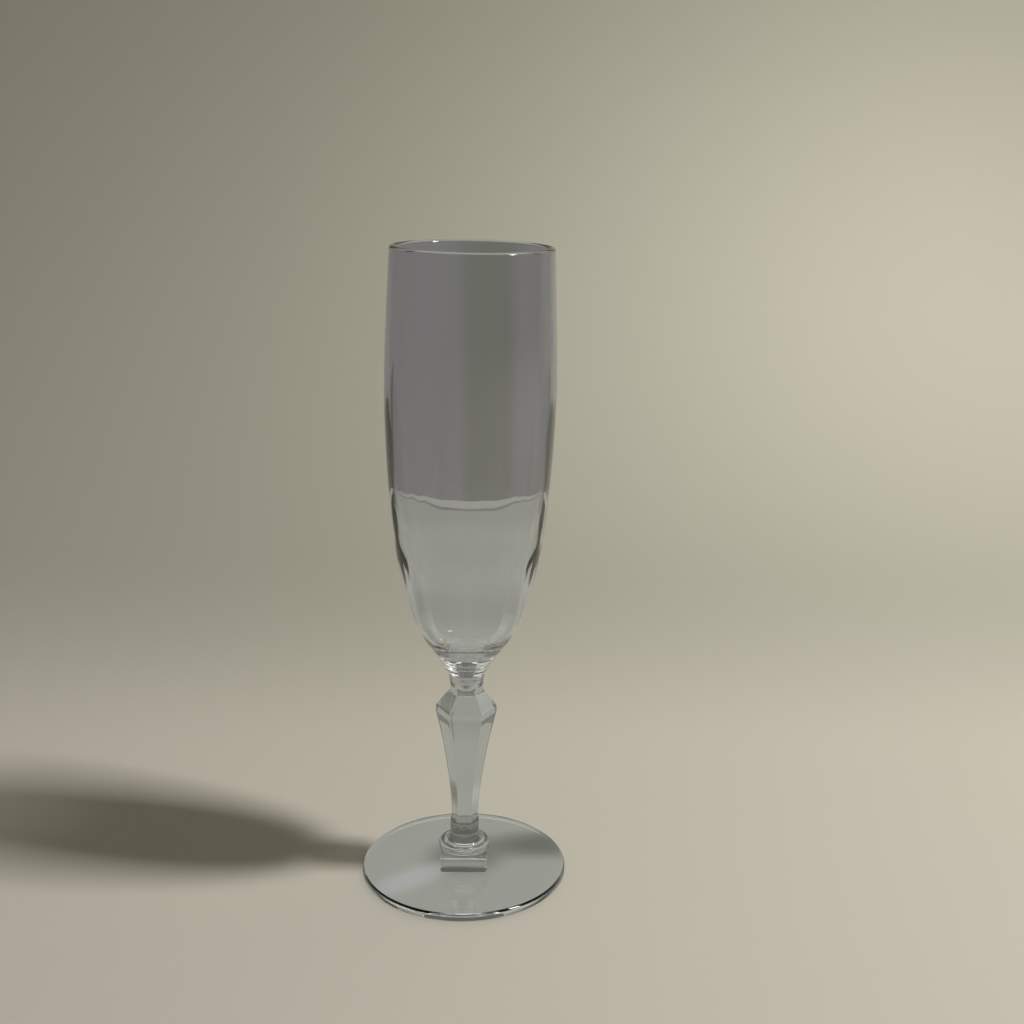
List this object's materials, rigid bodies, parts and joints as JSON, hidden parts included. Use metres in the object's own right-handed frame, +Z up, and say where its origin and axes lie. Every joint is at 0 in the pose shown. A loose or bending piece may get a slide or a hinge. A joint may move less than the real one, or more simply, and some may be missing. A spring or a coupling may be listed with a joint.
{
  "type": "champagne flute",
  "caption": "Tall tulip-shaped stemmed glass for sparkling wine, with a six-sided baluster stem, round collar, square plinth and flat disc foot.",
  "frame": {"origin": "centre of the foot's flat underside, on the surface the glass stands on", "axes": "+Z up along the axis of the bowl and stem; -Y is the side that one flat of the stem and one face of the plinth look towards"},
  "size_m": [0.068, 0.068, 0.21],
  "materials": {
    "clear_glass": "polished, clear, very faint cool grey tint"
  },
  "bodies": {
    "root": {"bowl": "clear_glass", "neck": "clear_glass", "stem": "clear_glass", "collar": "clear_glass", "plinth": "clear_glass", "foot": "clear_glass"}
  },
  "joints": []
}
